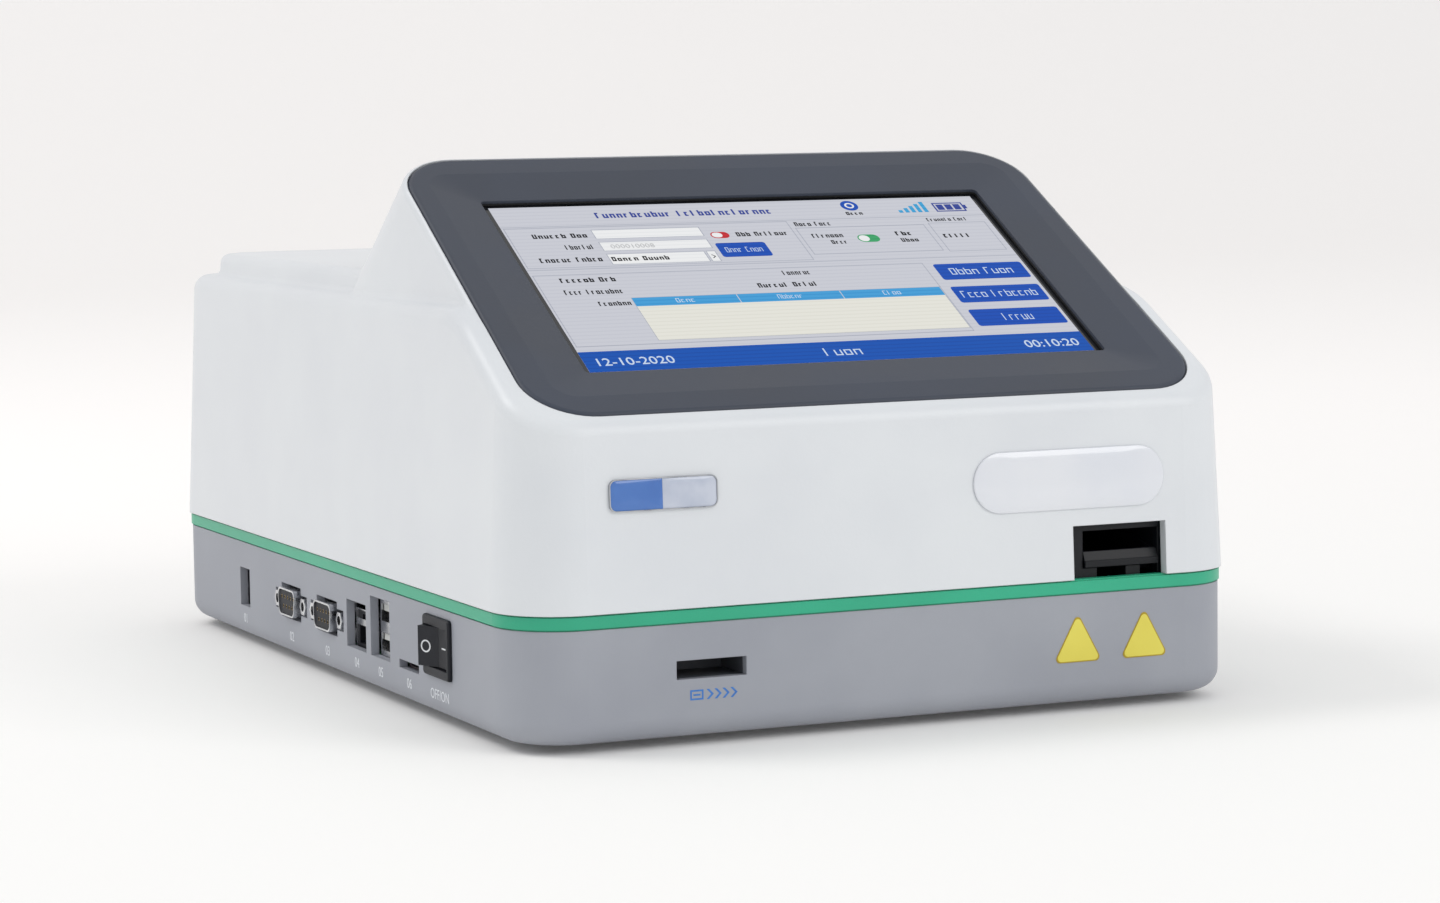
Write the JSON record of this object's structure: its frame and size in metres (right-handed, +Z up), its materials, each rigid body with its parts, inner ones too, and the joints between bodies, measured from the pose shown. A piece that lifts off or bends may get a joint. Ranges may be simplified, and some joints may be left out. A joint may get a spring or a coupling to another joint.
{
  "type": "rapid test reader",
  "caption": "Bench-top rapid test reader with sloped touch screen, powered card tray, green trim band, side ports, rocker switch and a lidded paper printer on the rear deck.",
  "frame": {"origin": "bottom centre of the footprint, on the surface that the feet stand on", "axes": "+Z up, -Y is the front with the screen and card slot, +X is right seen from the front"},
  "size_m": [0.2225, 0.318, 0.1544],
  "materials": {
    "white_cover": "fine moulded texture, satin",
    "grey_base": "fine moulded texture, matte",
    "green_band": "satin extruded trim",
    "slate_bezel": "soft satin paint",
    "display_glass": "polished hard coat",
    "black_foam": "closed-cell foam",
    "tinned_steel": "rolled sheet",
    "bright_steel": "ground",
    "zinc_screw": "zinc plated",
    "nickel_shell": "nickel plated",
    "brass_contact": "plated",
    "black_nylon": "moulded",
    "white_nylon": "moulded",
    "charcoal_tray": "moulded, satin",
    "foot_rubber": "moulded rubber",
    "circuit_board": "solder mask",
    "chip_epoxy": "epoxy",
    "black_anodised": "anodised",
    "lens_glass": "polished",
    "printer_plastic": "moulded, fine grain",
    "button_plastic": "moulded, satin"
  },
  "bodies": {
    "housing": {"base_shell": "grey_base", "rubber_feet": "foot_rubber", "case_screws": "zinc_screw", "trim_band": "green_band", "top_cover": "white_cover", "display_bezel": "slate_bezel", "display_gasket": "black_foam", "touch_panel": "display_glass", "lcd_module": "tinned_steel", "display_bracket": "tinned_steel", "display_board": "circuit_board", "bracket_screws": "zinc_screw", "main_board": "circuit_board", "board_screws": "zinc_screw", "board_parts": "chip_epoxy", "backup_cell": "nickel_shell", "power_inlet": "black_nylon", "power_pin": "nickel_shell", "serial_shells": "nickel_shell", "serial_inserts": "black_nylon", "serial_posts": "nickel_shell", "lan_shield": "nickel_shell", "lan_insert": "black_nylon", "usb_shell": "nickel_shell", "usb_tongues": "white_nylon", "memory_socket": "nickel_shell", "switch_frame": "black_nylon", "switch_terminals": "brass_contact", "id_socket": "black_nylon", "id_contacts": "brass_contact", "tray_guide": "charcoal_tray", "guide_screws": "zinc_screw", "tray_motor": "tinned_steel", "optic_head": "black_anodised", "optic_lens": "lens_glass", "light_barrel": "black_anodised", "optic_board": "circuit_board", "printer_frame": "printer_plastic", "tear_bar": "bright_steel", "print_head": "black_anodised", "heater_strip": "white_nylon", "lid_pin": "bright_steel"},
    "power_rocker": {"switch_rocker": "black_nylon"},
    "card_tray": {"card_tray": "charcoal_tray"},
    "drive_pinion": {"drive_pinion": "white_nylon", "motor_shaft": "bright_steel"},
    "printer_lid": {"printer_lid": "printer_plastic"},
    "platen": {"platen_roller": "foot_rubber", "platen_shaft": "bright_steel"},
    "release_button": {"release_button": "button_plastic"}
  },
  "joints": [
    {"name": "power_rocker_tip", "type": "hinge", "parent": "housing", "child": "power_rocker", "pos_m": [-0.1074, -0.0962, 0.02245], "axis": [0, 0, -1], "range_deg": [0, 24]},
    {"name": "tray_slide", "type": "slide", "parent": "housing", "child": "card_tray", "axis": [0, -1, 0], "range_m": [-0.025, 0.06]},
    {"name": "pinion_turn", "type": "hinge", "parent": "housing", "child": "drive_pinion", "pos_m": [0.0802, -0.12357, 0.0325], "axis": [1, 0, 0], "range_deg": [-230, 545]},
    {"name": "lid_hinge", "type": "hinge", "parent": "housing", "child": "printer_lid", "pos_m": [0, 0.11039, 0.1203], "axis": [-1, 0, 0], "range_deg": [0, 90]},
    {"name": "platen_turn", "type": "hinge", "parent": "printer_lid", "child": "platen", "pos_m": [0, 0.05239, 0.1127], "axis": [1, 0, 0], "continuous": true},
    {"name": "button_press", "type": "slide", "parent": "housing", "child": "release_button", "axis": [0, 0, -1], "range_m": [0, 0.0018], "stiffness_N_per_m": 300, "springref_m": -0.0003}
  ],
  "couplings": [
    {"joint": "pinion_turn", "follows": "tray_slide", "rad_per_m": 156.25}
  ]
}
